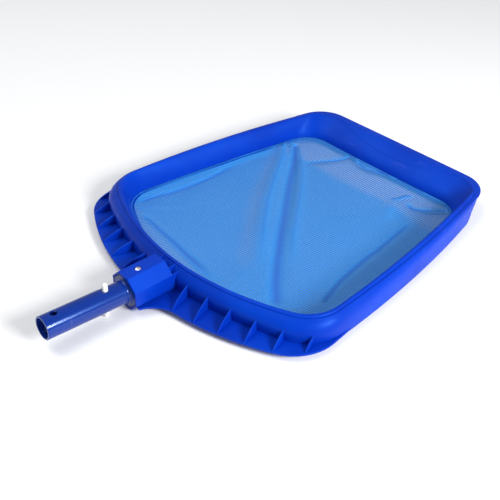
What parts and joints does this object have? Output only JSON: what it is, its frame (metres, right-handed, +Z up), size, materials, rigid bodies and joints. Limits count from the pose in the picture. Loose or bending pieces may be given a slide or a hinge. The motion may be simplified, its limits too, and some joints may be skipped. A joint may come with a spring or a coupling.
{
  "type": "leaf skimmer net",
  "caption": "Flat scoop-shaped pool leaf skimmer head: rimmed frame with a fine mesh net, gusseted rear flange and a pole tube with spring lock buttons.",
  "frame": {"origin": "on the lowest face (the bottom flat of the handle socket), on the mid plane, halfway along the whole length", "axes": "+X from the pole tube towards the scooping lip, +Y across the head, +Z up out of the open side of the tray"},
  "size_m": [0.5961, 0.4176, 0.0477],
  "materials": {
    "frame_plastic": "satin",
    "adapter_plastic": "glossy",
    "net_mesh": "fine woven mesh",
    "white_nylon": "satin",
    "rivet_aluminium": "satin",
    "mandrel_steel": "satin"
  },
  "bodies": {
    "head": {"outer_frame": "frame_plastic", "inner_ring": "frame_plastic", "net": "net_mesh", "pole_adapter": "adapter_plastic", "spring_clip": "white_nylon", "rivet_body_top": "rivet_aluminium", "rivet_body_bottom": "rivet_aluminium", "rivet_mandrel_top": "mandrel_steel", "rivet_mandrel_bottom": "mandrel_steel"},
    "button_top": {"lock_button_top": "white_nylon"},
    "button_bottom": {"lock_button_bottom": "white_nylon"}
  },
  "joints": [
    {"name": "press_top_button", "type": "slide", "parent": "head", "child": "button_top", "axis": [-0.0593, 0, -0.9982], "range_m": [0, 0.009], "stiffness_N_per_m": 1100, "springref_m": -0.002, "deforming": ["spring_clip"]},
    {"name": "press_bottom_button", "type": "slide", "parent": "head", "child": "button_bottom", "axis": [0.0593, 0, 0.9982], "range_m": [0, 0.009], "stiffness_N_per_m": 1100, "springref_m": -0.002, "deforming": ["spring_clip"]}
  ]
}
